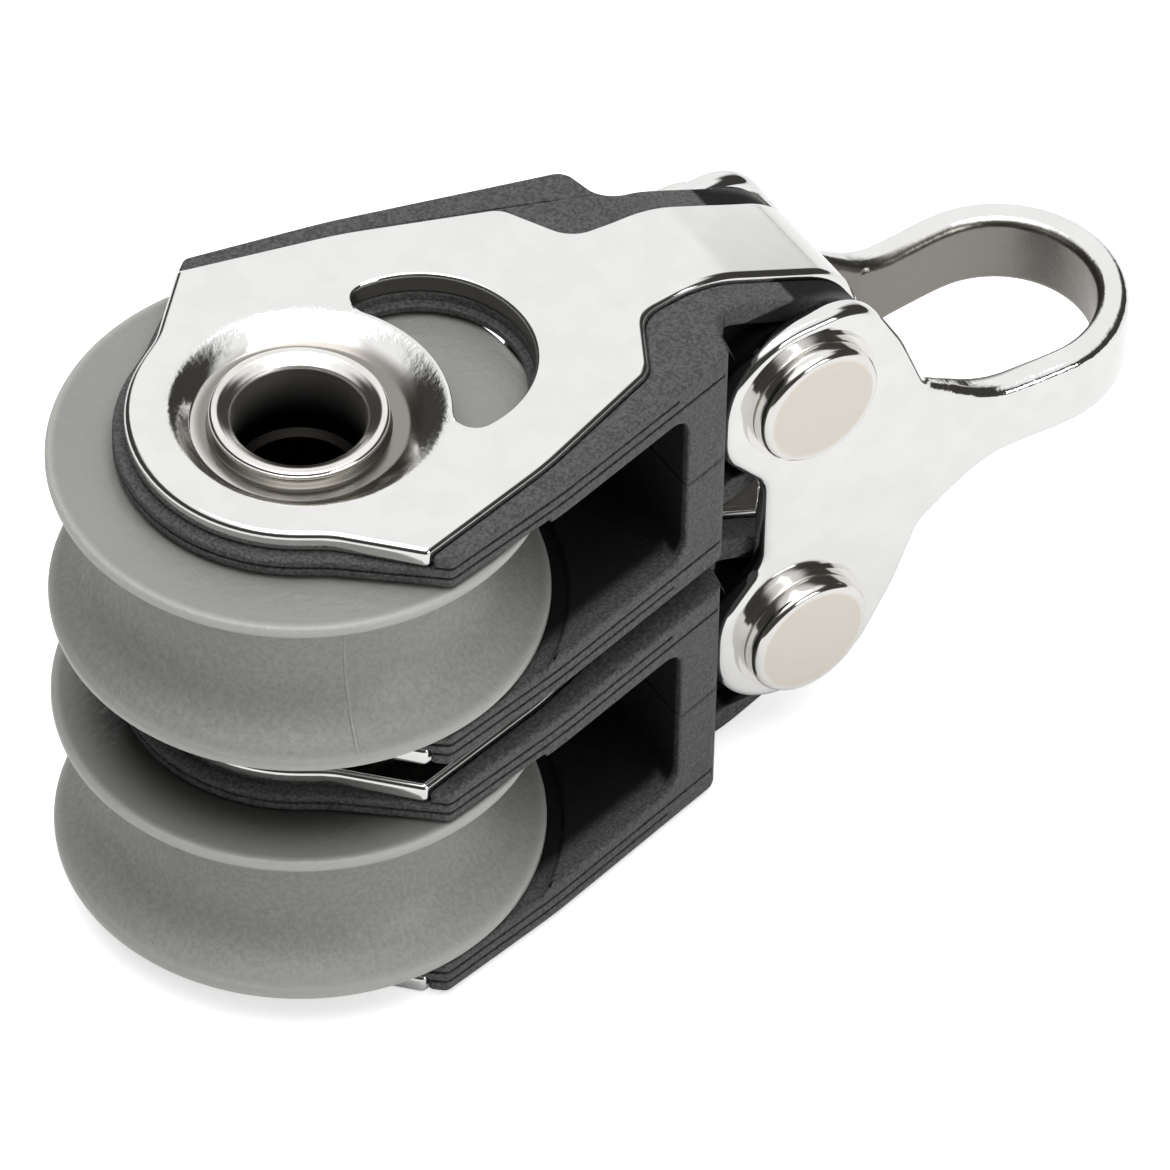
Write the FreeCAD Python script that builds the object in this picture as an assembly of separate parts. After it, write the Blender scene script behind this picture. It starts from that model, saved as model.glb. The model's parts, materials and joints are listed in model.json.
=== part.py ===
import FreeCAD, Part
import math
import os

# Double sheave block: two ball-bearing blocks stacked on one hollow axle and joined by one shackle.
# Millimetres. Z runs along the hollow axle, X points from the axle towards the shackle's loop.
# The origin is the centre of the axle, midway between the two blocks.

block_z = 10.0              # middle plane of each block, above and below the origin
sheave_r = 15.0             # outside radius of a sheave
sheave_half = 6.05          # half of its width
rim_land = 0.75             # width of the rim beside the groove
groove_r = 5.6              # radius of the rope groove

sheet = 1.5                 # thickness of the strap's steel
strap_half = 9.15           # from a block's middle plane to the outside of its strap
strap_half_width = 3.65     # half width of the band that goes round the head
head_x = 31.4               # axis of the head rivet
head_r = 6.3                # outside radius of the strap's bend at the head
head_slope = 25.0           # slope of the strap between its flat part and the bend, degrees
slope_blend = 9.0           # radius where the flat part turns into the slope

dish_depth = 1.25           # depth of the dish pressed into the strap round the axle
dish_top_r = 8.9
dish_top_x = 0.55           # the dish is a little longer towards the head
# circles of the dish's upper and under side: radius, centre's X, depth below the strap's face
dish_upper = [
    (8.9, 0.55, 0), (8.25, 0.55, 0.07), (7.95, 0.52, 0.22),
    (7.2, 0.3, 0.7), (6.6, 0.06, 1.12), (6.3, 0, 1.25),
]
dish_under = [(8.75, 0.54, 1.5), (8.12, 0.28, 1.88), (7.35, 0.05, 2.42), (6.6, 0, 2.75)]

plastic_inset = 0.45        # how far the moulded rim lies below the strap's face
nose_rim_x = 0.4            # the rim is low round the nose, up to here
pocket_half = 6.35          # half height of the pocket that holds the sheave
pocket_r = 16.0
window_half = 6.0           # half height of the rope window behind the sheave
window_end_x = 20.9
window_corner = 1.5
hub_hole_r = 9.7            # hole in a cheek round the dish
crease_depth = 0.25         # two creases run round a cheek's side
crease_half = 0.11
crease_lines = [(7.05, 24.0), (7.85, 20.0)]  # height above the block's middle plane, far end in X
head_half_width = 5.7       # half width of the moulded head between the shackle's plates
head_wall = 1.7             # thickness of the moulded wall that backs the strap at the head
head_web_half = 4.3
head_boss_r = 4.9

crescent_x = 8.4            # centre of the crescent window's outer arc
crescent_r = 6.9
crescent_inner_r = 9.05
crescent_tip = 1.3
crescent_lip = 0.5          # how far the moulded lip reaches into the crescent, beside the sheave

tube_r = 4.9                # hollow axle, outside
tube_bore_r = 3.55
tube_mouth_r = 4.04
tube_mouth_depth = 5.5
lip_r = 5.36
lip_neck_r = 5.05
lip_foot_r = 5.5
lip_drop = 0.05             # the axle's lip ends this much below the strap's face

race_r = 6.55
race_gap = 0.05
ball_r = 0.95
ball_circle_r = 7.4
ball_clearance = 0.06
ball_row_z = 2.6
balls_per_row = 22
sheave_bore_r = 8.2
recess_r = 9.3              # recess in each side of the sheave, over the bearing
recess_half = 5.55
washer_half_z = (5.65, 6.2)
washer_radii = (6.62, 9.0)

plate_outer = 7.4           # outside faces of the shackle's two plates, from the middle
plate_thick = 1.6
loop_thick = 2.0
loop_outer = 7.9            # half width of the loop outside, where its legs spread a little
loop_end_x = 58.8
loop_half_height = 2.6
leg_bend_x = (42.5, 50.0)   # the legs spread between these

pin_r = 2.5
pin_fit = 0.05
bush_r = 3.5
rivet_washer_r = 4.6
rivet_washer_thick = 0.25
rivet_head_r = 4.15
rivet_head_end = 8.9
rivet_head_round = 0.45


def vec(x, y, z=0.0):
    return FreeCAD.Vector(x, y, z)


def rounded_wire(corners, lift):
    """Closed wire through corners (u, v, radius), each corner rounded; lift places (u, v) in space."""
    count = len(corners)
    starts, ends, middles = [], [], []
    for i in range(count):
        u, v, radius = corners[i]
        before = corners[i - 1]
        after = corners[(i + 1) % count]
        here = vec(u, v)
        to_before = (vec(before[0], before[1]) - here).normalize()
        to_after = (vec(after[0], after[1]) - here).normalize()
        half_angle = to_before.getAngle(to_after) / 2
        reach = radius / math.tan(half_angle)
        bisector = to_before + to_after
        if radius > 0 and bisector.Length > 1e-9:
            centre = here + bisector.normalize() * (radius / math.sin(half_angle))
            toward = (here - centre).normalize()
            middles.append(centre + toward * radius)
        else:
            reach = 0.0
            middles.append(None)
        starts.append(here + to_before * reach)
        ends.append(here + to_after * reach)
    edges = []
    for i in range(count):
        following = (i + 1) % count
        if middles[i] is not None:
            edges.append(Part.Arc(lift(starts[i]), lift(middles[i]), lift(ends[i])).toShape())
        if (starts[following] - ends[i]).Length > 1e-6:
            edges.append(Part.LineSegment(lift(ends[i]), lift(starts[following])).toShape())
    return Part.Wire(edges)


def plan_prism(corners, z_low, z_high):
    """Outline given in X and Y, extruded along Z."""
    wire = rounded_wire(corners, lambda p: vec(p.x, p.y, z_low))
    return Part.Face(wire).extrude(vec(0, 0, z_high - z_low))


def side_prism(corners, y_low, y_high):
    """Outline given in X and Z, extruded along Y."""
    wire = rounded_wire(corners, lambda p: vec(p.x, y_low, p.y))
    return Part.Face(wire).extrude(vec(0, y_high - y_low, 0))


def mirrored(half):
    """Full outline from its half on the positive side, listed from the nose to the far end."""
    other = [(u, -v, radius) for u, v, radius in reversed(half)]
    return half + other


def turned(points, z=0.0):
    """Ring or disc made by turning a polygon of (radius, height) round Z."""
    corners = [vec(radius, 0, z + height) for radius, height in points]
    wire = Part.makePolygon(corners + corners[:1])
    return Part.Face(wire).revolve(vec(0, 0, 0), vec(0, 0, 1), 360)


def disc(radius, z_low, z_high, x=0.0):
    return Part.makeCylinder(radius, z_high - z_low, vec(x, 0, z_low))


def cross_bar(radius, half_length, x, z):
    """Cylinder along Y, centred on Y = 0."""
    return Part.makeCylinder(radius, 2 * half_length, vec(x, -half_length, z), vec(0, 1, 0))


def box(x_low, x_high, y_low, y_high, z_low, z_high):
    return Part.makeBox(x_high - x_low, y_high - y_low, z_high - z_low, vec(x_low, y_low, z_low))


def mirror_z(shape):
    return shape.mirror(vec(0, 0, 0), vec(0, 0, 1))


def head_profile(inset):
    """Side outline of a block about its middle plane: flat, then a slope, then the bend at the head."""
    slope = math.radians(head_slope)
    height = strap_half - inset
    radius = head_r - inset
    blend_x = head_x + (radius - height * math.cos(slope)) / math.sin(slope)
    end_x = head_x + radius
    end_z = radius * math.tan((math.pi / 2 - slope) / 2)
    half = [(-20, height, 0), (blend_x, height, slope_blend - inset), (end_x, end_z, radius)]
    return mirrored(half)


def strap_outline(grow=0.0):
    nose = 10.3 + grow
    half = [
        (-nose, 5.7 + grow / 2, nose),
        (-3.9, 9.75 + grow, 5.0),
        (0.1, 13.9 + grow, 0.5),
        (10.0, 11.5 + grow, 25.0),
        (19.3, 8.15 + grow, 1.8),
        (21.6, strap_half_width + 0.25 + grow, 2.2),
        (24.5, strap_half_width + grow, 8.0),
        (45.0, strap_half_width + grow, 0),
    ]
    return mirrored(half)


def cheek_outline():
    half = [
        (-11.0, 6.1, 11.0),
        (-4.4, 10.25, 4.0),
        (1.2, 14.85, 0.6),
        (10.0, 13.05, 40.0),
        (24.5, 9.1, 1.3),
        (25.0, head_half_width, 1.9),
        (45.0, head_half_width, 0),
    ]
    return mirrored(half)


def crescent(z_low, z_high, shrink=0.0):
    """Crescent window between the dish and an outer arc, with round tips."""
    outer = disc(crescent_r - shrink, z_low, z_high, crescent_x)
    shape = outer.cut(disc(crescent_inner_r, z_low - 1, z_high + 1))
    tips = []
    for edge in shape.Edges:
        upright = abs(edge.tangentAt(edge.FirstParameter).z) > 0.99
        if upright and abs(edge.Vertexes[0].Point.y) > 4:
            tips.append(edge)
    return shape.makeFillet(crescent_tip, tips)


def stacked(circles):
    """Solid through a stack of circles about a block's middle plane."""
    wires = []
    for radius, x, depth in circles:
        wires.append(Part.Wire(Part.makeCircle(radius, vec(x, 0, strap_half - depth))))
    return Part.makeLoft(wires, True, True)


def dish():
    """Pressed dish of one strap side: a floor round the axle and a sloping wall up to the flat."""
    shape = disc(dish_top_r, strap_half - sheet, strap_half, dish_top_x)
    shape = shape.fuse(stacked(dish_under))
    shape = shape.cut(stacked(dish_upper))
    return shape.cut(disc(tube_r + pin_fit, 0, 12))


def strap():
    """One steel sheet bent in a U round a block, about the block's middle plane."""
    shell = side_prism(head_profile(0), -20, 20).cut(side_prism(head_profile(sheet), -21, 21))
    shape = shell.common(plan_prism(strap_outline(), -12, 12))
    upper_dish = dish()
    shape = shape.cut(disc(dish_top_r, -12, 12, dish_top_x))
    shape = shape.fuse([upper_dish, mirror_z(upper_dish)])
    shape = shape.cut(crescent(-12, 12))
    return shape.removeSplitter()


def rope_window():
    """Space between the cheeks: the sheave's pocket and the rope window behind it."""
    window = [
        (-20, window_half, 0),
        (window_end_x, window_half, window_corner),
        (window_end_x, -window_half, window_corner),
        (-20, -window_half, 0),
    ]
    return side_prism(window, -20, 20).fuse(disc(pocket_r, -pocket_half, pocket_half))


def head_pockets():
    """Hollows in both sides of the moulded head, round the boss of the head rivet."""
    inside = side_prism(head_profile(plastic_inset + head_wall), -8, 8)
    region = inside.common(box(26.2, 45, -8, 8, -12, 12))
    region = region.cut(box(20, 45, -head_web_half, head_web_half, -12, 12))
    return region.cut(cross_bar(head_boss_r, 9, head_x, 0))


def strap_seat():
    """Shallow seat that the strap lies in, and the low rim round the nose."""
    above = side_prism(head_profile(-2), -21, 21).cut(side_prism(head_profile(sheet), -21, 21))
    seat = above.common(plan_prism(strap_outline(0.06), -14, 14))
    nose = above.common(box(-20, nose_rim_x, -20, 20, -14, 14))
    return seat.fuse(nose)


def creases():
    """Shallow grooves round the sides of both cheeks."""
    outline = Part.Face(rounded_wire(cheek_outline(), lambda p: vec(p.x, p.y)))
    inner = outline.makeOffset2D(-crease_depth)
    ring = outline.cut(inner).extrude(vec(0, 0, 2 * crease_half))
    cutters = []
    for height, end_x in crease_lines:
        for z in (height, -height):
            cutter = ring.translated(vec(0, 0, z - crease_half))
            cutters.append(cutter.common(box(-30, end_x, -20, 20, z - 1, z + 1)))
    return Part.makeCompound(cutters)


def moulding():
    """Both cheeks of a block as one body, before they are parted at the middle plane."""
    shape = plan_prism(cheek_outline(), -14, 14)
    shape = shape.common(side_prism(head_profile(plastic_inset), -20, 20))
    shape = shape.cut(creases())
    shape = shape.cut(rope_window())
    shape = shape.cut(strap_seat())
    shape = shape.cut(head_pockets())
    shape = shape.cut(disc(hub_hole_r, -14, 14))
    shape = shape.cut(crescent(pocket_half + 0.6, 14))
    shape = shape.cut(crescent(pocket_half - 0.5, pocket_half + 0.7, crescent_lip))
    shape = shape.cut(mirror_z(crescent(pocket_half + 0.6, 14)))
    shape = shape.cut(mirror_z(crescent(pocket_half - 0.5, pocket_half + 0.7, crescent_lip)))
    return shape.cut(cross_bar(bush_r, 9, head_x, 0))


def parted(shape, side):
    """The half of a moulding above (side 1) or below (side -1) the middle plane."""
    z_low = 0 if side > 0 else -15
    return shape.common(box(-30, 60, -30, 30, z_low, z_low + 15))


def sheave():
    """Plastic sheave with a round rope groove, side recesses and two ball tracks in its bore."""
    shape = disc(sheave_r, -sheave_half, sheave_half).cut(disc(sheave_bore_r, -8, 8))
    for side in (-1, 1):
        low = min(side * recess_half, side * 8)
        shape = shape.cut(disc(recess_r, low, low + 8 - recess_half))
    groove_half = sheave_half - rim_land
    groove_centre = sheave_r + math.sqrt(groove_r ** 2 - groove_half ** 2)
    shape = shape.cut(Part.makeTorus(groove_centre, groove_r))
    shape = shape.cut(ball_tracks())
    rims = [edge for edge in shape.Edges if outer_rim(edge)]
    return shape.makeFillet(0.3, rims)


def outer_rim(edge):
    box_of = edge.BoundBox
    return box_of.XLength > 2 * sheave_r - 0.5 and box_of.ZLength < 0.01


def ball_tracks():
    tracks = []
    for row in (-ball_row_z, ball_row_z):
        tracks.append(Part.makeTorus(ball_circle_r, ball_r + ball_clearance, vec(0, 0, row)))
    return Part.makeCompound(tracks)


def bearing_race():
    half = strap_half - dish_depth - sheet
    ring = disc(race_r, -half, half).cut(disc(tube_r + race_gap, -9, 9))
    return ring.cut(ball_tracks())


def bearing_balls():
    """Two rows of loose balls, every ball a solid of its own."""
    balls = []
    for row in (-ball_row_z, ball_row_z):
        for k in range(balls_per_row):
            angle = 2 * math.pi * k / balls_per_row
            centre = vec(ball_circle_r * math.cos(angle), ball_circle_r * math.sin(angle), row)
            balls.append(Part.makeSphere(ball_r, centre))
    return Part.makeCompound(balls)


def thrust_washers():
    low, high = washer_half_z
    inner, outer = washer_radii
    washer = disc(outer, low, high).cut(disc(inner, low - 1, high + 1))
    return Part.makeCompound([washer, mirror_z(washer)])


def axle_tube():
    """Hollow axle through both blocks, with a rolled lip on each outer strap."""
    floor = block_z + strap_half - dish_depth
    top = block_z + strap_half - lip_drop
    mouth = top - tube_mouth_depth
    half = [
        (tube_bore_r, 0),
        (tube_r, 0),
        (tube_r, floor),
        (lip_foot_r, floor),
        (lip_foot_r, floor + 0.1),
        (lip_neck_r, floor + 0.4),
        (lip_neck_r, floor + 0.5),
        (lip_r, floor + 0.75),
        (lip_r, top - 0.3),
        (lip_r - 0.12, top - 0.1),
        (lip_r - 0.35, top),
        (lip_r - 0.55, top - 0.05),
        (tube_mouth_r, top - 0.45),
        (tube_mouth_r, mouth),
        (tube_bore_r, mouth - 0.3),
    ]
    upper = turned(half)
    return upper.fuse(mirror_z(upper)).removeSplitter()


def centre_spacer():
    half = block_z - strap_half + dish_depth
    return disc(6.2, -half, half).cut(disc(tube_r + pin_fit, -9, 9))


def plate_outline():
    """Side outline of the shackle: two round lobes on the rivets, a waist and the loop's strip."""
    lobe_end = block_z + 5.6
    half = [
        (28.6, 3.5, 2.6),
        (25.4, 7.2, 4.0),
        (25.4, lobe_end, 5.6),
        (35.5, lobe_end, 4.4),
        (38.6, 10.2, 12.0),
        (40.3, 5.9, 2.4),
        (45.2, loop_half_height, 6.0),
        (62.0, loop_half_height, 0),
    ]
    return mirrored(half)


def shackle():
    """One bent piece: two plates beside the heads, joined by the loop."""
    start_x, end_x = leg_bend_x
    loop_inner = loop_outer - loop_thick
    plate_inner = plate_outer - plate_thick
    outer_half = [
        (20, plate_outer, 0),
        (start_x, plate_outer, 10.0),
        (end_x, loop_outer, 20.0),
        (loop_end_x, loop_outer, loop_outer),
    ]
    gap_half = [
        (10, plate_inner, 0),
        (start_x - 1.0, plate_inner, 3.0),
        (start_x + 1.7, plate_outer - loop_thick + 0.1, 3.0),
        (end_x, loop_inner, 20.0),
        (loop_end_x - loop_thick, loop_inner, loop_inner),
    ]
    outer = plan_prism(mirrored(outer_half), -18, 18)
    gap = plan_prism(mirrored(gap_half), -19, 19)
    shape = outer.cut(gap).common(side_prism(plate_outline(), -20, 20))
    for z in (-block_z, block_z):
        shape = shape.cut(cross_bar(pin_r + pin_fit, 12, head_x, z))
    return shape.removeSplitter()


def rivet_head(side):
    """Round head on one end of a rivet, with a softened edge."""
    start = plate_outer + rivet_washer_thick
    length = rivet_head_end - start
    head = Part.makeCylinder(rivet_head_r, length, vec(head_x, side * start, 0), vec(0, side, 0))
    end_edges = []
    for edge in head.Edges:
        if edge.BoundBox.YLength < 0.01 and abs(edge.BoundBox.Center.y) > start + length / 2:
            end_edges.append(edge)
    return head.makeFillet(rivet_head_round, end_edges)


def head_rivet():
    pin = cross_bar(pin_r, plate_outer + rivet_washer_thick, head_x, 0)
    return pin.fuse([rivet_head(-1), rivet_head(1)]).removeSplitter()


def head_bush():
    """Steel sleeve between the two plates, round the rivet."""
    half_length = plate_outer - plate_thick
    sleeve = cross_bar(bush_r, half_length, head_x, 0)
    return sleeve.cut(cross_bar(pin_r + pin_fit, 9, head_x, 0))


def rivet_washers():
    washers = []
    for side in (-1, 1):
        for z in (-block_z, block_z):
            base = vec(head_x, side * plate_outer, z)
            direction = vec(0, side, 0)
            ring = Part.makeCylinder(rivet_washer_r, rivet_washer_thick, base, direction)
            hole = Part.makeCylinder(pin_r + pin_fit, rivet_washer_thick, base, direction)
            washers.append(ring.cut(hole))
    return Part.makeCompound(washers)


def at_height(shape, z):
    placed = shape.copy()
    placed.translate(vec(0, 0, z))
    return placed


def write(name, shape):
    shape.exportStep("parts/" + name + ".step")
    print(name, "solids", len(shape.Solids), "volume", round(shape.Volume, 1), "valid", shape.isValid())


os.makedirs("parts", exist_ok=True)

block_moulding = moulding()
block_parts = {
    "strap": strap(),
    "sheave": sheave(),
    "bearing_race": bearing_race(),
    "bearing_balls": bearing_balls(),
    "thrust_washers": thrust_washers(),
    "head_rivet": head_rivet(),
    "head_bush": head_bush(),
}
for prefix, side in (("upper", 1), ("lower", -1)):
    for name, shape in block_parts.items():
        write(prefix + "_" + name, at_height(shape, side * block_z))
    write(prefix + "_outer_cheek", at_height(parted(block_moulding, side), side * block_z))
    write(prefix + "_inner_cheek", at_height(parted(block_moulding, -side), side * block_z))

write("axle_tube", axle_tube())
write("centre_spacer", centre_spacer())
write("shackle", shackle())
write("rivet_washers", rivet_washers())
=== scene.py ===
import json
import math

import bmesh
import bpy
from mathutils import Matrix, Vector


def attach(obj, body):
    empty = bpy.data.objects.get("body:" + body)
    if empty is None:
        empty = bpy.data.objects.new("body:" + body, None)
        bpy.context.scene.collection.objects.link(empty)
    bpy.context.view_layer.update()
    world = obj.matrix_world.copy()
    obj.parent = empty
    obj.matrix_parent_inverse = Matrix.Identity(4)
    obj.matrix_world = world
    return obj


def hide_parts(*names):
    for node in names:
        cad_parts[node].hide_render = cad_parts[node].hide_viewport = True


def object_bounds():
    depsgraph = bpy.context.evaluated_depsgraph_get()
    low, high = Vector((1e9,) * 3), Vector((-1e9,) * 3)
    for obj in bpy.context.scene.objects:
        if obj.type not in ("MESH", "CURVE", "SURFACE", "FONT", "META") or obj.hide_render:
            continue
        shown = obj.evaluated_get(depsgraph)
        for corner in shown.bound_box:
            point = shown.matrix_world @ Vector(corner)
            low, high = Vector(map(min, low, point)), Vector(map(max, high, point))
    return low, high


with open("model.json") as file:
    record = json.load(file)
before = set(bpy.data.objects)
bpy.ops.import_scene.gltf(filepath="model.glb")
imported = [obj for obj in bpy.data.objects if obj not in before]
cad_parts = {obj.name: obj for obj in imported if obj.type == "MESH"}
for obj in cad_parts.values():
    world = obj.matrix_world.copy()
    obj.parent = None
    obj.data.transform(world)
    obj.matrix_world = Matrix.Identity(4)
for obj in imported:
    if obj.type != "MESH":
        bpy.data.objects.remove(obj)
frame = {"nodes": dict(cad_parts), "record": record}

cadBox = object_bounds()
mm = 0.001
blockZ = 10.0     # middle plane of each block, mm from the origin
headX = 31.4      # axis of the head rivets
weldGap = 1e-6    # points closer than this are one point, metres
axisGap = 1e-9    # points closer to the axis than this lie on it, metres
scene = bpy.context.scene


# short ways to place nodes

def addNode(tree, kind, **values):
    node = tree.nodes.new(kind)
    for name, value in values.items():
        setattr(node, name, value)
    return node


def link(tree, fromSocket, toSocket):
    tree.links.new(fromSocket, toSocket)


def mathNode(tree, operation, *values):
    node = addNode(tree, "ShaderNodeMath", operation=operation)
    for index, value in enumerate(values):
        if isinstance(value, (int, float)):
            node.inputs[index].default_value = value
        else:
            link(tree, value, node.inputs[index])
    return node.outputs[0]


def product(tree, first, second):
    return mathNode(tree, "MULTIPLY", first, second)


def rampBetween(tree, value, low, high):
    # 0 below low, 1 above high, smooth between
    node = addNode(tree, "ShaderNodeMapRange", interpolation_type="SMOOTHSTEP")
    link(tree, value, node.inputs["Value"])
    node.inputs["From Min"].default_value = low
    node.inputs["From Max"].default_value = high
    return node.outputs["Result"]


def fadeBetween(tree, value, low, high):
    # 1 below low, 0 above high
    return mathNode(tree, "SUBTRACT", 1.0, rampBetween(tree, value, low, high))


def distance(tree, first, second):
    return mathNode(tree, "SQRT", mathNode(tree, "MULTIPLY_ADD", first, first, product(tree, second, second)))


def placeInMm(tree, where):
    # x, y and z of the surface in millimetres
    scaled = addNode(tree, "ShaderNodeVectorMath", operation="SCALE")
    link(tree, where, scaled.inputs[0])
    scaled.inputs["Scale"].default_value = 1 / mm
    parts = addNode(tree, "ShaderNodeSeparateXYZ")
    link(tree, scaled.outputs[0], parts.inputs[0])
    return parts.outputs["X"], parts.outputs["Y"], parts.outputs["Z"]


def levelInBlock(tree, z):
    # how far from the middle of its own block, up or down
    fromMiddle = mathNode(tree, "SUBTRACT", mathNode(tree, "ABSOLUTE", z), blockZ)
    return mathNode(tree, "ABSOLUTE", fromMiddle)


def mixColors(tree, factor, first, second):
    node = addNode(tree, "ShaderNodeMix", data_type="RGBA")
    link(tree, factor, node.inputs[0])
    for index, value in ((6, first), (7, second)):  # the mix node's two colour sockets
        if isinstance(value, tuple):
            node.inputs[index].default_value = (*value, 1.0)
        else:
            link(tree, value, node.inputs[index])
    return node.outputs[2]


# effects that several finishes share

def newGroup(name, inputs, outputs):
    group = bpy.data.node_groups.new(name, "ShaderNodeTree")
    for socketName, kind, default in inputs:
        socket = group.interface.new_socket(name=socketName, in_out="INPUT", socket_type=kind)
        if default is not None:
            socket.default_value = default
    for socketName, kind in outputs:
        group.interface.new_socket(name=socketName, in_out="OUTPUT", socket_type=kind)
    return group, addNode(group, "NodeGroupInput"), addNode(group, "NodeGroupOutput")


def noiseIn(group, vector, scale, detail, roughness=0.5):
    noise = addNode(group, "ShaderNodeTexNoise")
    noise.inputs["Detail"].default_value = detail
    noise.inputs["Roughness"].default_value = roughness
    link(group, vector, noise.inputs["Vector"])
    link(group, scale, noise.inputs["Scale"])
    return noise.outputs["Fac"]


def makeGrainGroup():
    # fine pits and lumps for moulded, blasted and stamped surfaces
    grain = {"detail": 4.0, "roughness": 0.6, "pitDepth": 0.5, "speckleFrom": (0.62, 0.75)}
    group, groupIn, groupOut = newGroup(
        "surfaceGrain",
        [("Vector", "NodeSocketVector", None), ("Scale", "NodeSocketFloat", 1000.0),
         ("Coarse", "NodeSocketFloat", 0.3)],
        [("Height", "NodeSocketFloat"), ("Speckle", "NodeSocketFloat")])
    fine = noiseIn(group, groupIn.outputs["Vector"], groupIn.outputs["Scale"],
                   grain["detail"], grain["roughness"])
    pits = addNode(group, "ShaderNodeTexVoronoi")
    link(group, groupIn.outputs["Vector"], pits.inputs["Vector"])
    link(group, product(group, groupIn.outputs["Scale"], groupIn.outputs["Coarse"]), pits.inputs["Scale"])
    height = mathNode(group, "MULTIPLY_ADD", pits.outputs["Distance"], grain["pitDepth"], fine)
    link(group, height, groupOut.inputs["Height"])
    link(group, rampBetween(group, fine, *grain["speckleFrom"]), groupOut.inputs["Speckle"])
    return group


def makeMottleGroup():
    # slow colour drift between two tones
    mottle = {"detail": 5.0, "lightFrom": (0.35, 0.65)}
    group, groupIn, groupOut = newGroup(
        "colourMottle",
        [("Vector", "NodeSocketVector", None), ("Scale", "NodeSocketFloat", 200.0),
         ("Dark", "NodeSocketColor", (0.1, 0.1, 0.1, 1)), ("Light", "NodeSocketColor", (0.2, 0.2, 0.2, 1))],
        [("Color", "NodeSocketColor")])
    cloud = noiseIn(group, groupIn.outputs["Vector"], groupIn.outputs["Scale"], mottle["detail"])
    mask = rampBetween(group, cloud, *mottle["lightFrom"])
    color = mixColors(group, mask, groupIn.outputs["Dark"], groupIn.outputs["Light"])
    link(group, color, groupOut.inputs["Color"])
    return group


def makeScratchGroup():
    # hairline scratches and slight waviness of polished steel
    marks = {"turn": (0.3, 0.5, 0.7), "stretch": (1.0, 14.0, 5.0), "lineDetail": 6.0, "waveDetail": 1.0,
             "scratchFrom": (0.60, 0.72)}
    group, groupIn, groupOut = newGroup(
        "polishMarks",
        [("Vector", "NodeSocketVector", None), ("Scale", "NodeSocketFloat", 60.0)],
        [("Height", "NodeSocketFloat"), ("Scratch", "NodeSocketFloat")])
    stretched = addNode(group, "ShaderNodeMapping")
    stretched.inputs["Rotation"].default_value = marks["turn"]
    stretched.inputs["Scale"].default_value = marks["stretch"]
    link(group, groupIn.outputs["Vector"], stretched.inputs["Vector"])
    lines = noiseIn(group, stretched.outputs["Vector"], groupIn.outputs["Scale"], marks["lineDetail"])
    waves = noiseIn(group, groupIn.outputs["Vector"], groupIn.outputs["Scale"], marks["waveDetail"])
    link(group, rampBetween(group, lines, *marks["scratchFrom"]), groupOut.inputs["Scratch"])
    link(group, waves, groupOut.inputs["Height"])
    return group


def useGroup(tree, group, vector, **values):
    node = addNode(tree, "ShaderNodeGroup")
    node.node_tree = group
    link(tree, vector, node.inputs["Vector"])
    for socketName, value in values.items():
        node.inputs[socketName].default_value = value
    return node


grainGroup = makeGrainGroup()
mottleGroup = makeMottleGroup()
scratchGroup = makeScratchGroup()


# the finishes; distances in their dictionaries are millimetres

def startMaterial(name, **shader):
    material = bpy.data.materials.new(name)
    material.use_nodes = True
    tree = material.node_tree
    principled = tree.nodes["Principled BSDF"]
    for socketName, value in shader.items():
        principled.inputs[socketName.replace("_", " ")].default_value = value
    coords = addNode(tree, "ShaderNodeTexCoord")
    return material, tree, principled, coords.outputs["Object"]


def twoTone(tree, where, look):
    mottle = useGroup(tree, mottleGroup, where, Scale=look["mottle"], Dark=look["dark"], Light=look["light"])
    return mottle.outputs["Color"]


def bumpFrom(tree, principled, height, depth, strength):
    bump = addNode(tree, "ShaderNodeBump")
    bump.inputs["Distance"].default_value = depth * mm
    bump.inputs["Strength"].default_value = strength
    link(tree, height, bump.inputs["Height"])
    link(tree, bump.outputs["Normal"], principled.inputs["Normal"])


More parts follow.
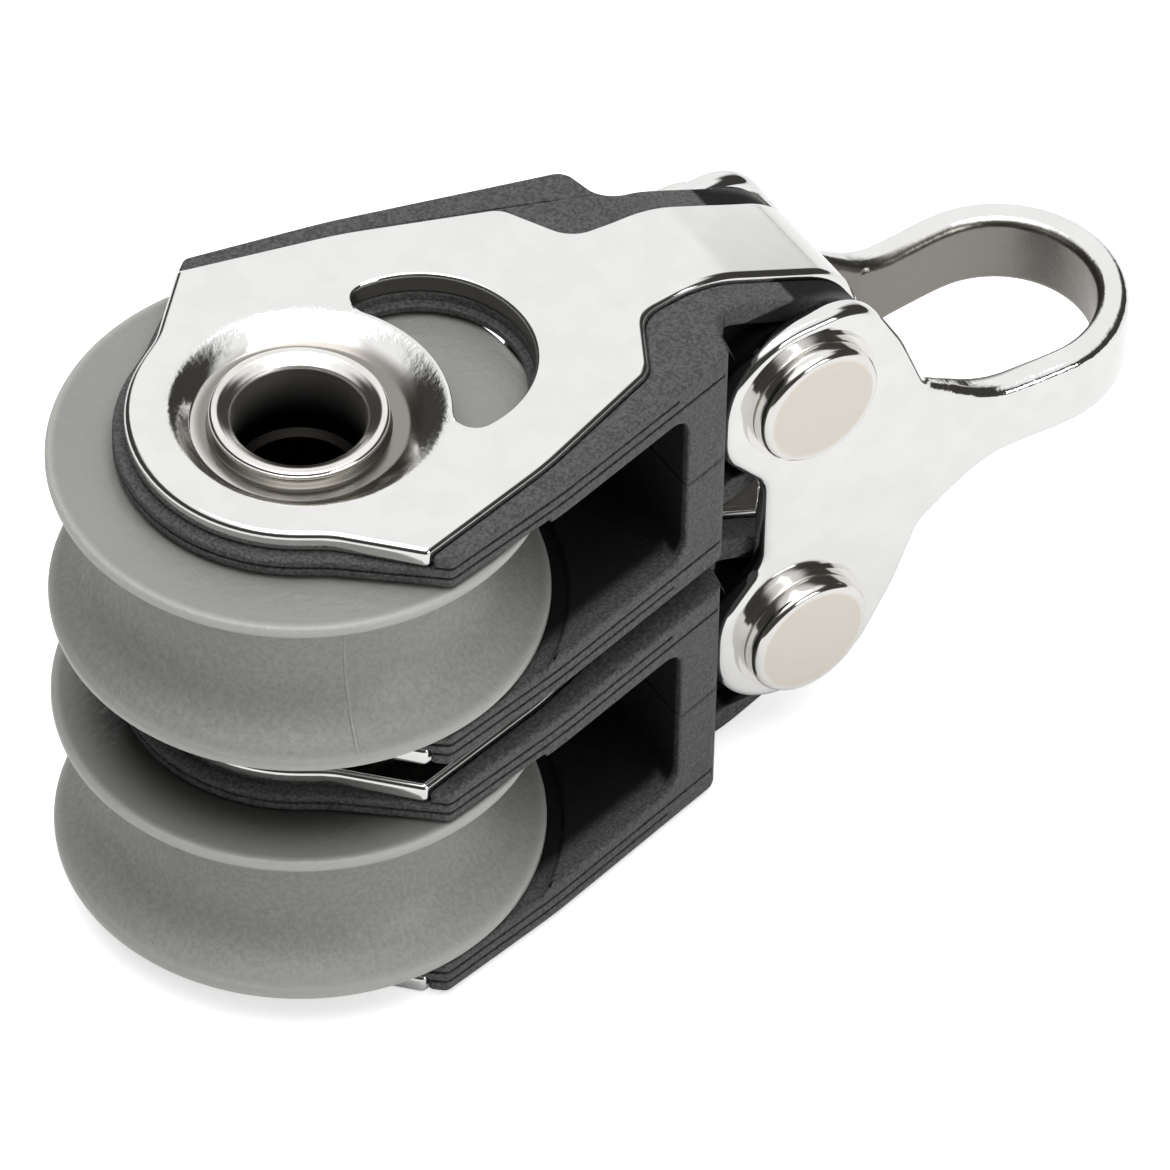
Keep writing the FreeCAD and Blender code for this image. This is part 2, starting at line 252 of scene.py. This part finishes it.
def makeNylon():
    look = {
        "dark": (0.050, 0.050, 0.050, 1), "light": (0.105, 0.105, 0.104, 1), "mottle": 5000.0,
        "fleck": (0.26, 0.26, 0.26), "fleckShare": 0.6, "inside": (0.003, 0.003, 0.003),
        "flank": 15.1, "taper": 0.25,        # the outer wall's half width at x = 0, and how fast it narrows
        "pocketDepth": (0.6, 1.9), "pocketTop": (6.4, 6.6),
        "columnFace": (20.95, 21.1), "columnDepth": (0.1, 0.5), "columnTop": (5.5, 5.9),
        "rough": 0.48, "insideRough": 0.35, "bump": 0.14,
    }
    material, tree, principled, where = startMaterial("mouldedNylon", Specular_IOR_Level=0.25)
    grain = useGroup(tree, grainGroup, where, Scale=5200.0, Coarse=0.35)
    flecks = product(tree, grain.outputs["Speckle"], look["fleckShare"])
    color = mixColors(tree, flecks, twoTone(tree, where, look), look["fleck"])
    # painted shade: the pocket's inner walls are painted near black for the shade deep in the pocket, while
    # the outside keeps its mottled moulded colour
    x, y, z = placeInMm(tree, where)
    flank = mathNode(tree, "MULTIPLY_ADD", x, -look["taper"], look["flank"])
    depth = mathNode(tree, "SUBTRACT", flank, mathNode(tree, "ABSOLUTE", y))
    level = levelInBlock(tree, z)
    pocket = product(tree, rampBetween(tree, depth, *look["pocketDepth"]),
                     fadeBetween(tree, level, *look["pocketTop"]))
    # the column closing the pocket gets the same painted shade, right out to its corner
    column = product(tree, fadeBetween(tree, x, *look["columnFace"]),
                     rampBetween(tree, depth, *look["columnDepth"]))
    column = product(tree, column, fadeBetween(tree, level, *look["columnTop"]))
    inside = mathNode(tree, "MAXIMUM", pocket, column)
    link(tree, mixColors(tree, inside, color, look["inside"]), principled.inputs["Base Color"])
    rough = mathNode(tree, "MULTIPLY_ADD", inside, look["insideRough"], look["rough"])
    link(tree, rough, principled.inputs["Roughness"])
    bumpFrom(tree, principled, grain.outputs["Height"], look["bump"], strength=0.9)
    return material


def makeAcetal():
    look = {
        "dark": (0.275, 0.28, 0.262, 1), "light": (0.325, 0.33, 0.31, 1), "mottle": 3200.0,
        "side": (0.265, 0.27, 0.25), "sideFrom": (4.4, 5.9),
        "rim": (0.42, 0.425, 0.40), "rimFrom": (14.3, 14.95),
        "betweenShade": (0.055, 0.056, 0.052), "betweenShadeBelow": (4.3, 5.4), "betweenShadeInside": (11.0, 14.7),
        "rimSoil": 0.2,
        "lineAngle": 1.892, "lineWidth": (0.004, 0.012), "lineShare": 0.4, "lineHeight": 0.8, "bump": 0.09,
    }
    material, tree, principled, where = startMaterial(
        "sheaveAcetal", Roughness=0.33, Subsurface_Weight=0.10, Subsurface_Scale=0.0012)
    principled.inputs["Subsurface Radius"].default_value = (1.0, 1.0, 0.9)
    x, y, z = placeInMm(tree, where)
    # painted light: the groove is painted a little paler than the flat sides for the light it catches, though
    # both are the same acetal
    sideMask = rampBetween(tree, levelInBlock(tree, z), *look["sideFrom"])
    color = mixColors(tree, sideMask, twoTone(tree, where, look), look["side"])
    radius = distance(tree, x, y)
    # painted shade: the sides facing the other block are painted darker where that block shades them, less so
    # towards the outer edge
    facing = fadeBetween(tree, mathNode(tree, "ABSOLUTE", z), *look["betweenShadeBelow"])
    outward = rampBetween(tree, radius, *look["betweenShadeInside"])
    share = mathNode(tree, "MULTIPLY_ADD", outward, look["rimSoil"] - 1.0, 1.0)
    color = mixColors(tree, product(tree, facing, share), color, look["betweenShade"])
    # painted highlight: the outer ring of each flat side is painted paler, where it catches the light
    rimMask = product(tree, rampBetween(tree, radius, *look["rimFrom"]), sideMask)
    color = mixColors(tree, rimMask, color, look["rim"])
    # a fine mould line crosses each groove, turned away from the other sheave's
    angle = mathNode(tree, "ARCTAN2", y, x)
    angle = mathNode(tree, "MULTIPLY_ADD", mathNode(tree, "SIGN", z), angle, look["lineAngle"])
    line = fadeBetween(tree, mathNode(tree, "ABSOLUTE", angle), *look["lineWidth"])
    line = product(tree, line, mathNode(tree, "SUBTRACT", 1.0, sideMask))
    # the mould line takes the same pale colour as the painted rim highlight
    color = mixColors(tree, product(tree, line, look["lineShare"]), color, look["rim"])
    link(tree, color, principled.inputs["Base Color"])
    grain = useGroup(tree, grainGroup, where, Scale=2600.0, Coarse=0.4)
    height = mathNode(tree, "MULTIPLY_ADD", line, look["lineHeight"], grain.outputs["Height"])
    bumpFrom(tree, principled, height, look["bump"], strength=0.8)
    return material


def makePolishedSteel():
    look = {
        "dark": (0.745, 0.74, 0.73, 1), "light": (0.775, 0.77, 0.76, 1), "mottle": 450.0,
        "innerLoopShade": (0.24, 0.228, 0.21), "eyeCentre": 50.9, "eyeWall": (6.05, 6.4), "loopFrom": (38.0, 42.0),
        "crescentWallShade": (0.13, 0.12, 0.11), "crescentCentre": 8.4, "crescentWall": (7.05, 7.15),
        "sheetTop": (8.82, 8.98), "dishEdge": (8.95, 9.02),
        "dishBottomShade": (0.27, 0.255, 0.235), "dishOffset": 0.55, "dishBottom": (6.3, 7.1),
        "stretchInner": (6.6, 8.1), "stretchOuter": (8.5, 9.3),
        "rough": 0.08, "scratchRough": 0.10, "punchedRough": 0.2, "innerLoopRough": 0.22, "dishBottomRough": 0.15,
        "waveHeight": 0.4, "loopHeight": 2.5, "bump": 0.04,
    }
    material, tree, principled, where = startMaterial("polishedSteel", Metallic=1.0)
    x, y, z = placeInMm(tree, where)
    # painted shade: the inner face of the shackle's loop is painted darker and made rougher than the polished
    # outside, for the shaded floor it reflects
    beyond = mathNode(tree, "MAXIMUM", mathNode(tree, "SUBTRACT", x, look["eyeCentre"]), 0.0)
    inEye = fadeBetween(tree, distance(tree, beyond, y), *look["eyeWall"])
    onLoop = rampBetween(tree, x, *look["loopFrom"])
    innerLoopShade = product(tree, inEye, onLoop)
    color = mixColors(tree, innerLoopShade, twoTone(tree, where, look), look["innerLoopShade"])
    # painted shade: the punched wall of the crescent window is rougher, and is painted dark for the shade in
    # the narrow window
    fromCentre = distance(tree, mathNode(tree, "SUBTRACT", x, look["crescentCentre"]), y)
    inCrescent = fadeBetween(tree, fromCentre, *look["crescentWall"])
    below = fadeBetween(tree, levelInBlock(tree, z), *look["sheetTop"])
    pastDish = rampBetween(tree, distance(tree, x, y), *look["dishEdge"])
    crescentWallShade = product(tree, product(tree, inCrescent, below), pastDish)
    color = mixColors(tree, crescentWallShade, color, look["crescentWallShade"])
    # painted shade: the bottom of the dish, round the axle, is painted darker grey for the darker reflection
    # in that hollow
    dishRadius = distance(tree, mathNode(tree, "SUBTRACT", x, look["dishOffset"]), y)
    dishBottomShade = fadeBetween(tree, dishRadius, *look["dishBottom"])
    color = mixColors(tree, dishBottomShade, color, look["dishBottomShade"])
    link(tree, color, principled.inputs["Base Color"])
    marks = useGroup(tree, scratchGroup, where, Scale=260.0)
    rough = mathNode(tree, "MULTIPLY_ADD", marks.outputs["Scratch"], look["scratchRough"], look["rough"])
    for mask, added in ((crescentWallShade, "punchedRough"), (innerLoopShade, "innerLoopRough"), (dishBottomShade, "dishBottomRough")):
        rough = mathNode(tree, "MULTIPLY_ADD", mask, look[added], rough)
    link(tree, rough, principled.inputs["Roughness"])
    # stretched metal round the dish, and the rolled strip of the loop
    ring = mathNode(tree, "SUBTRACT", rampBetween(tree, dishRadius, *look["stretchInner"]),
                    rampBetween(tree, dishRadius, *look["stretchOuter"]))
    grain = useGroup(tree, grainGroup, where, Scale=3600.0, Coarse=0.5)
    lumps = useGroup(tree, grainGroup, where, Scale=600.0, Coarse=0.6)
    height = product(tree, ring, grain.outputs["Height"])
    height = mathNode(tree, "MULTIPLY_ADD", marks.outputs["Height"], look["waveHeight"], height)
    loopHeight = product(tree, onLoop, lumps.outputs["Height"])
    height = mathNode(tree, "MULTIPLY_ADD", loopHeight, look["loopHeight"], height)
    bumpFrom(tree, principled, height, look["bump"], strength=0.7)
    return material


def makeTurnedSteel():
    look = {
        "dark": (0.70, 0.68, 0.65, 1), "light": (0.79, 0.775, 0.755, 1), "mottle": 350.0,
        "bore": (0.010, 0.009, 0.008), "boreDepth": (14.6, 18.3), "boreWall": (4.1, 4.2),
        "neck": (0.24, 0.225, 0.20), "neckTop": (18.35, 18.7), "neckWall": (4.85, 4.95),
        "rough": 0.16, "boreRough": 0.26, "neckRough": 0.14,
        "toolMarks": 26.0, "grain": 0.6, "bump": 0.004,
    }
    material, tree, principled, where = startMaterial("turnedSteel", Metallic=1.0)
    x, y, z = placeInMm(tree, where)
    radius = distance(tree, x, y)
    level = mathNode(tree, "ABSOLUTE", z)
    inBore = fadeBetween(tree, radius, *look["boreWall"])
    # painted shade: deeper down the bore the steel is painted near black, for the shade in the hole
    deepBoreShade = product(tree, fadeBetween(tree, level, *look["boreDepth"]), inBore)
    color = mixColors(tree, deepBoreShade, twoTone(tree, where, look), look["bore"])
    # painted shade: under the lip the neck is painted darker, for the shade there
    neck = product(tree, fadeBetween(tree, level, *look["neckTop"]),
                   rampBetween(tree, radius, *look["neckWall"]))
    color = mixColors(tree, neck, color, look["neck"])
    link(tree, color, principled.inputs["Base Color"])
    rough = mathNode(tree, "MULTIPLY_ADD", inBore, look["boreRough"], look["rough"])
    rough = mathNode(tree, "MULTIPLY_ADD", neck, look["neckRough"], rough)
    link(tree, rough, principled.inputs["Roughness"])
    rings = mathNode(tree, "SINE", product(tree, z, look["toolMarks"]))
    grain = useGroup(tree, grainGroup, where, Scale=1500.0, Coarse=0.5)
    height = mathNode(tree, "MULTIPLY_ADD", grain.outputs["Height"], look["grain"], rings)
    bumpFrom(tree, principled, height, look["bump"], strength=0.6)
    return material


def makeRivetSteel():
    look = {
        "face": (0.70, 0.656, 0.60), "side": (0.74, 0.725, 0.70),
        "faceFrom": (8.82, 8.88), "faceEdge": (3.45, 3.75),
        "rough": 0.12, "faceRough": 0.38, "toolMarks": 9.0, "markHeight": 0.4, "bump": 0.02,
    }
    material, tree, principled, where = startMaterial("rivetSteel", Metallic=1.0)
    # the same marks on both rivets: their two heights are folded onto one
    x, y, z = placeInMm(tree, where)
    radius = distance(tree, levelInBlock(tree, z), mathNode(tree, "SUBTRACT", x, headX))
    onEnd = rampBetween(tree, mathNode(tree, "ABSOLUTE", y), *look["faceFrom"])
    face = product(tree, onEnd, fadeBetween(tree, radius, *look["faceEdge"]))
    link(tree, mixColors(tree, face, look["side"], look["face"]), principled.inputs["Base Color"])
    rough = mathNode(tree, "MULTIPLY_ADD", face, look["faceRough"], look["rough"])
    link(tree, rough, principled.inputs["Roughness"])
    rings = mathNode(tree, "SINE", product(tree, radius, look["toolMarks"]))
    grain = useGroup(tree, grainGroup, where, Scale=2400.0, Coarse=0.3)
    height = mathNode(tree, "MULTIPLY_ADD", rings, look["markHeight"], grain.outputs["Height"])
    bumpFrom(tree, principled, product(tree, face, height), look["bump"], strength=0.7)
    return material


def makeBallPlastic():
    look = {"dark": (0.62, 0.61, 0.56, 1), "light": (0.75, 0.74, 0.70, 1), "mottle": 500.0, "bump": 0.01}
    material, tree, principled, where = startMaterial("ballPlastic", Roughness=0.25)
    link(tree, twoTone(tree, where, look), principled.inputs["Base Color"])
    grain = useGroup(tree, grainGroup, where, Scale=2000.0, Coarse=0.5)
    bumpFrom(tree, principled, grain.outputs["Height"], look["bump"], strength=0.4)
    return material


materials = {
    "moulded_nylon": makeNylon(),
    "sheave_acetal": makeAcetal(),
    "polished_stainless": makePolishedSteel(),
    "turned_steel": makeTurnedSteel(),
    "rivet_steel": makeRivetSteel(),
    "bearing_plastic": makeBallPlastic(),
}
print("materials made")


# the pieces; their dictionaries are in millimetres

def finishPiece(bm, name, slotName, body, replaced):
    mesh = bpy.data.meshes.new(name)
    bm.to_mesh(mesh)
    bm.free()
    piece = bpy.data.objects.new(name, mesh)
    scene.collection.objects.link(piece)
    mesh.materials.append(materials[slotName])
    mesh.shade_smooth()
    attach(piece, body)
    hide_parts(replaced)
    return piece


def mergedCopy(nodeName, cuts):
    # a CAD node's triangles joined up into whole faces; the cuts keep holes out of them
    cutting = {"gap": 2e-7, "onCut": 4e-7, "flatWithin": 0.3}
    bm = bmesh.new()
    bm.from_mesh(frame["nodes"][nodeName].data)
    bmesh.ops.remove_doubles(bm, verts=bm.verts[:], dist=weldGap)
    planes = [("xyz".index(axis), height * mm) for axis, height in cuts]
    for axis, height in planes:
        point, normal = Vector(), Vector()
        point[axis] = height
        normal[axis] = 1.0
        bmesh.ops.bisect_plane(bm, geom=bm.verts[:] + bm.edges[:] + bm.faces[:], dist=cutting["gap"],
                               plane_co=point, plane_no=normal)

    def onCut(edge):
        return any(all(abs(vert.co[axis] - height) < cutting["onCut"] for vert in edge.verts)
                   for axis, height in planes)

    loose = [edge for edge in bm.edges if not onCut(edge)]
    bmesh.ops.dissolve_limit(bm, angle_limit=math.radians(cutting["flatWithin"]),
                             verts=bm.verts[:], edges=loose)
    return bm


def softenEdges(piece, widthAt, widest, segments=4):
    # rounds every sharp edge; widthAt gives the width for an edge's middle, both in mm
    sharpFrom = math.radians(28.0)
    mesh = piece.data
    bm = bmesh.new()
    bm.from_mesh(mesh)
    weights = bm.edges.layers.float.new("bevel_weight_edge")
    for edge in bm.edges:
        if len(edge.link_faces) == 2 and edge.calc_face_angle(0.0) > sharpFrom:
            middle = (edge.verts[0].co + edge.verts[1].co) / 2 / mm
            edge[weights] = min(1.0, widthAt(middle) / widest)
    bm.to_mesh(mesh)
    bm.free()
    bevel = piece.modifiers.new("softEdges", "BEVEL")
    bevel.limit_method = "WEIGHT"
    bevel.width = widest * mm
    bevel.segments = segments
    bevel.use_clamp_overlap = False
    normals = piece.modifiers.new("flatNormals", "WEIGHTED_NORMAL")
    normals.keep_sharp = True
    normals.weight = 90


def roundedProfile(points, rounding):
    # closed outline of (radius, height) in the XZ plane, with the corners in rounding rounded
    bm = bmesh.new()
    corners = [bm.verts.new((radius * mm, 0.0, height * mm)) for radius, height in points]
    bm.faces.new(corners)
    for index, size in rounding.items():
        bmesh.ops.bevel(bm, geom=[corners[index]], offset=size * mm, offset_type="OFFSET", segments=6,
                        profile=0.5, affect="VERTICES", material=-1)
    bmesh.ops.delete(bm, geom=bm.faces[:], context="FACES_ONLY")
    return bm


def spunRing(bm, steps):
    bmesh.ops.spin(bm, geom=bm.verts[:] + bm.edges[:], cent=(0, 0, 0), axis=(0, 0, 1),
                   angle=2 * math.pi, steps=steps, use_merge=True)
    bmesh.ops.remove_doubles(bm, verts=bm.verts[:], dist=weldGap / 10)
    bmesh.ops.recalc_face_normals(bm, faces=bm.faces[:])


def markSharp(piece, angle):
    piece.data.set_sharp_from_angle(angle=math.radians(angle))


def buildSheave(prefix, side):
    wheel = {"radius": 15.0, "half": 6.05, "land": 0.75, "grooveRadius": 5.6, "bore": 8.2,
             "recessRadius": 9.3, "recessHalf": 5.55, "recessRounding": 0.2,
             "rimRounding": 0.3, "lipRounding": 0.22, "arcSteps": 40, "steps": 256}
    radius, half = wheel["radius"], wheel["half"]
    recess, recessHalf = wheel["recessRadius"], wheel["recessHalf"]
    grooveHalf = half - wheel["land"]
    arcCentre = radius + math.sqrt(wheel["grooveRadius"] ** 2 - grooveHalf ** 2)
    reach = math.asin(grooveHalf / wheel["grooveRadius"])
    points = [
        (wheel["bore"], -recessHalf), (recess, -recessHalf), (recess, -half), (radius, -half),
        (radius, -grooveHalf), (radius, grooveHalf),
        (radius, half), (recess, half), (recess, recessHalf), (wheel["bore"], recessHalf),
    ]
    bm = roundedProfile(points, {2: wheel["recessRounding"], 3: wheel["rimRounding"],
                                 6: wheel["rimRounding"], 7: wheel["recessRounding"]})
    # the groove's arc swings from one rim to the other
    low, high = [min(bm.verts, key=lambda vert: (vert.co - Vector((radius, 0, end)) * mm).length)
                 for end in (-grooveHalf, grooveHalf)]
    chord = [edge for edge in low.link_edges if edge.other_vert(low) == high]
    bmesh.ops.delete(bm, geom=chord, context="EDGES_FACES")
    bmesh.ops.spin(bm, geom=[low], cent=(arcCentre * mm, 0, 0), axis=(0, 1, 0), angle=2 * reach,
                   steps=wheel["arcSteps"], use_duplicate=False)
    bmesh.ops.remove_doubles(bm, verts=bm.verts[:], dist=weldGap / 10)
    spunRing(bm, wheel["steps"])
    bmesh.ops.translate(bm, verts=bm.verts[:], vec=(0, 0, side * blockZ * mm))
    piece = finishPiece(bm, prefix + "SheaveWheel", "sheave_acetal", prefix + "_wheel", prefix + "_sheave")
    markSharp(piece, 60)
    softLip = piece.modifiers.new("softLip", "BEVEL")
    softLip.limit_method = "ANGLE"
    softLip.angle_limit = math.radians(40)
    softLip.width = wheel["lipRounding"] * mm
    softLip.segments = 3


def buildStrap(prefix):
    strap = {"outline": 0.47, "crescent": 0.2, "crescentInner": 0.12,   # widths of rounding
             "dishEdge": 8.95, "innerEdge": 9.2,
             "crescentCentre": 8.4, "crescentRadius": 7.0, "crescentFrom": 2.0}
    node = prefix + "_strap"
    piece = finishPiece(mergedCopy(node, [("y", 0.0)]), prefix + "StrapSheet", "polished_stainless",
                        "frame", node)

    def widthAt(middle):
        fromHub = math.hypot(middle.x, middle.y)
        fromCrescent = math.hypot(middle.x - strap["crescentCentre"], middle.y)
        if fromHub < strap["dishEdge"]:
            return 0.0
        if fromHub < strap["innerEdge"] and middle.x > 0:
            return strap["crescentInner"]
        if fromCrescent < strap["crescentRadius"] and middle.x > strap["crescentFrom"]:
            return strap["crescent"]
        return strap["outline"]

    softenEdges(piece, widthAt, strap["outline"])


def buildCheek(prefix, place):
    cheek = {"edge": 0.22, "crease": 0.05, "creaseLevels": (7.05, 7.85), "creaseReach": 0.16}
    node = prefix + "_" + place + "_cheek"
    piece = finishPiece(mergedCopy(node, [("y", 0.0)]), prefix + place.capitalize() + "CheekShell",
                        "moulded_nylon", "frame", node)

    def widthAt(middle):
        level = abs(abs(middle.z) - blockZ)
        fromCrease = min(abs(level - crease) for crease in cheek["creaseLevels"])
        return cheek["crease"] if fromCrease < cheek["creaseReach"] else cheek["edge"]

    softenEdges(piece, widthAt, cheek["edge"])


def buildShackle():
    bow = {"edge": 0.68, "segments": 6}
    cuts = [("y", 0.0), ("z", 0.0), ("z", blockZ), ("z", -blockZ)]
    piece = finishPiece(mergedCopy("shackle", cuts), "shackleBow", "polished_stainless", "frame", "shackle")
    softenEdges(piece, lambda middle: bow["edge"], bow["edge"], bow["segments"])


def buildAxle():
    tube = {"outer": 4.9, "bore": 3.55, "mouth": 4.04, "mouthDepth": 5.5,
            "lip": 5.36, "neck": 5.05, "foot": 5.5, "top": 19.1, "floor": 17.9,
            "chamfer": 0.5, "step": 0.3, "footHeight": 0.1, "neckHeight": 0.42, "lipHeight": 0.72,
            "steps": 180}
    rounding = {2: 0.06, 3: 0.15, 4: 0.12, 5: 0.24, 6: 0.12, 7: 0.18}  # by corner, foot to mouth
    top, floor = tube["top"], tube["floor"]
    mouthFloor = top - tube["mouthDepth"]
    half = [
        (tube["outer"], floor), (tube["foot"], floor), (tube["foot"], floor + tube["footHeight"]),
        (tube["neck"], floor + tube["neckHeight"]), (tube["lip"], floor + tube["lipHeight"]),
        (tube["lip"], top), (tube["lip"] - tube["chamfer"], top), (tube["mouth"], top - tube["chamfer"]),
        (tube["mouth"], mouthFloor), (tube["bore"], mouthFloor - tube["step"]),
    ]
    points = half + [(radius, -height) for radius, height in reversed(half)]
    last = len(points) - 1
    bm = roundedProfile(points, {**rounding, **{last - index: size for index, size in rounding.items()}})
    spunRing(bm, tube["steps"])
    piece = finishPiece(bm, "hollowAxle", "turned_steel", "frame", "axle_tube")
    markSharp(piece, 50)


def buildRivet(prefix, side):
    rivet = {"pin": 2.5, "start": 7.65, "end": 8.9, "head": 4.15, "rounding": 0.5, "underRounding": 0.12,
             "steps": 128}
    bm = bmesh.new()
    for direction in (-1, 1):
        outline = roundedProfile(
            [(0.0, rivet["end"]), (rivet["head"], rivet["end"]), (rivet["head"], rivet["start"]),
             (rivet["pin"], rivet["start"]), (rivet["pin"], 0.0), (0.0, 0.0)],
            {1: rivet["rounding"], 2: rivet["underRounding"]})
        axisEdges = [edge for edge in outline.edges if max(abs(vert.co.x) for vert in edge.verts) < axisGap]
        bmesh.ops.delete(outline, geom=axisEdges, context="EDGES")
        spunRing(outline, rivet["steps"])
        bmesh.ops.rotate(outline, verts=outline.verts[:], cent=(0, 0, 0),
                         matrix=Matrix.Rotation(-direction * math.pi / 2, 3, "X"))
        bmesh.ops.translate(outline, verts=outline.verts[:], vec=(headX * mm, 0, side * blockZ * mm))
        half = bpy.data.meshes.new("half")
        outline.to_mesh(half)
        outline.free()
        bm.from_mesh(half)
        bpy.data.meshes.remove(half)
    bmesh.ops.remove_doubles(bm, verts=bm.verts[:], dist=weldGap)
    bmesh.ops.recalc_face_normals(bm, faces=bm.faces[:])
    piece = finishPiece(bm, prefix + "HeadRivetPin", "rivet_steel", "frame", prefix + "_head_rivet")
    markSharp(piece, 35)


for prefix, side in (("upper", 1), ("lower", -1)):
    buildSheave(prefix, side)
    buildStrap(prefix)
    buildCheek(prefix, "outer")
    buildCheek(prefix, "inner")
    buildRivet(prefix, side)
    print(prefix, "block built")
buildShackle()
buildAxle()
print("shackle and axle built")

# CAD nodes that stay get their finish
for entry in frame["record"]["subparts"]:
    node = frame["nodes"][entry["node"]]
    node.data.materials.clear()
    node.data.materials.append(materials[entry["material_slot"]])


# floor, light and camera, in metres

def buildFloor():
    floor = {"size": 3.0, "dark": (0.93, 0.93, 0.93, 1), "light": (0.93, 0.93, 0.93, 1), "mottle": 3.0,
             "gap": 0.0001, "glow": 0.6}
    bm = bmesh.new()
    bmesh.ops.create_grid(bm, x_segments=1, y_segments=1, size=floor["size"])
    bmesh.ops.translate(bm, verts=bm.verts[:], vec=(0, 0, cadBox[0][2] - floor["gap"]))
    mesh = bpy.data.meshes.new("studioFloor")
    bm.to_mesh(mesh)
    bm.free()
    plane = bpy.data.objects.new("studioFloor", mesh)
    scene.collection.objects.link(plane)
    material, tree, principled, where = startMaterial("paperFloor", Roughness=0.9, Specular_IOR_Level=0.1,
                                                      Emission_Strength=1.0)
    link(tree, twoTone(tree, where, floor), principled.inputs["Base Color"])
    # the paper looks white straight on, but throws no extra light on the block
    path = addNode(tree, "ShaderNodeLightPath")
    glow = product(tree, path.outputs["Is Camera Ray"], floor["glow"])
    link(tree, glow, principled.inputs["Emission Color"])
    mesh.materials.append(material)


def buildWorld():
    sky = {"dark": (0.055, 0.052, 0.048), "white": (1.1, 1.1, 1.1), "overheadFrom": (0.62, 0.8),
           "away": (0.56, 0.83, 0.0), "behindFrom": (0.1, 0.4), "right": (0.83, -0.56, 0.0),
           "besideFrom": (0.28, 0.5)}
    world = bpy.data.worlds.new("studioWorld")
    scene.world = world
    world.use_nodes = True
    tree = world.node_tree
    coords = addNode(tree, "ShaderNodeTexCoord")
    parts = addNode(tree, "ShaderNodeSeparateXYZ")
    link(tree, coords.outputs["Generated"], parts.inputs[0])
    overhead = rampBetween(tree, parts.outputs["Z"], *sky["overheadFrom"])
    # a strip of white paper rises behind the block, and the room beside it and in front is dark
    leans = []
    for direction in (sky["away"], sky["right"]):
        lean = addNode(tree, "ShaderNodeVectorMath", operation="DOT_PRODUCT")
        link(tree, coords.outputs["Generated"], lean.inputs[0])
        lean.inputs[1].default_value = direction
        leans.append(lean.outputs["Value"])
    behind = rampBetween(tree, leans[0], *sky["behindFrom"])
    between = fadeBetween(tree, mathNode(tree, "ABSOLUTE", leans[1]), *sky["besideFrom"])
    light = mathNode(tree, "MAXIMUM", overhead, product(tree, behind, between))
    color = mixColors(tree, light, sky["dark"], sky["white"])
    link(tree, color, tree.nodes["Background"].inputs["Color"])
    tree.nodes["Background"].inputs["Strength"].default_value = 1.0


def addAreaLight(name, place, aim, size, power):
    light = bpy.data.lights.new(name, "AREA")
    light.shape = "RECTANGLE"
    light.size, light.size_y = size
    light.energy = power
    lamp = bpy.data.objects.new(name, light)
    scene.collection.objects.link(lamp)
    lamp.location = place
    lamp.rotation_euler = (Vector(aim) - Vector(place)).to_track_quat("-Z", "Y").to_euler()


def buildCamera():
    shot = {"azimuth": -34.032, "elevation": 45.915, "roll": 1.327, "distance": 0.6787,
            "aim": (0.01875, -0.00261, -0.0037), "lens": 344.364, "sensor": 36.0, "near": 0.01}
    azimuth, elevation = math.radians(shot["azimuth"]), math.radians(shot["elevation"])
    back = Vector((math.sin(azimuth) * math.cos(elevation), -math.cos(azimuth) * math.cos(elevation),
                   math.sin(elevation)))
    right = Vector((0, 0, 1)).cross(back).normalized()
    up = back.cross(right)
    roll = Matrix.Rotation(math.radians(shot["roll"]), 4, "Z")
    turn = Matrix((right, up, back)).transposed().to_4x4() @ roll
    camera = bpy.data.cameras.new("camera")
    camera.lens = shot["lens"]
    camera.sensor_width = shot["sensor"]
    camera.clip_start = shot["near"]
    viewer = bpy.data.objects.new("camera", camera)
    scene.collection.objects.link(viewer)
    viewer.matrix_world = Matrix.Translation(Vector(shot["aim"]) + back * shot["distance"]) @ turn
    scene.camera = viewer


lights = {
    "topLight": {"place": (-0.06, -0.14, 1.0), "aim": (0.02, 0, 0), "size": (0.85, 0.85), "power": 6.0},
    "sideLight": {"place": (0.3, -0.9, 0.35), "aim": (0.0, 0, 0), "size": (0.45, 0.3), "power": 2.2},
}
buildFloor()
buildWorld()
for lightName, setting in lights.items():
    addAreaLight(lightName, **setting)
buildCamera()
scene.view_settings.view_transform = "Standard"
print("floor, lights and camera set")
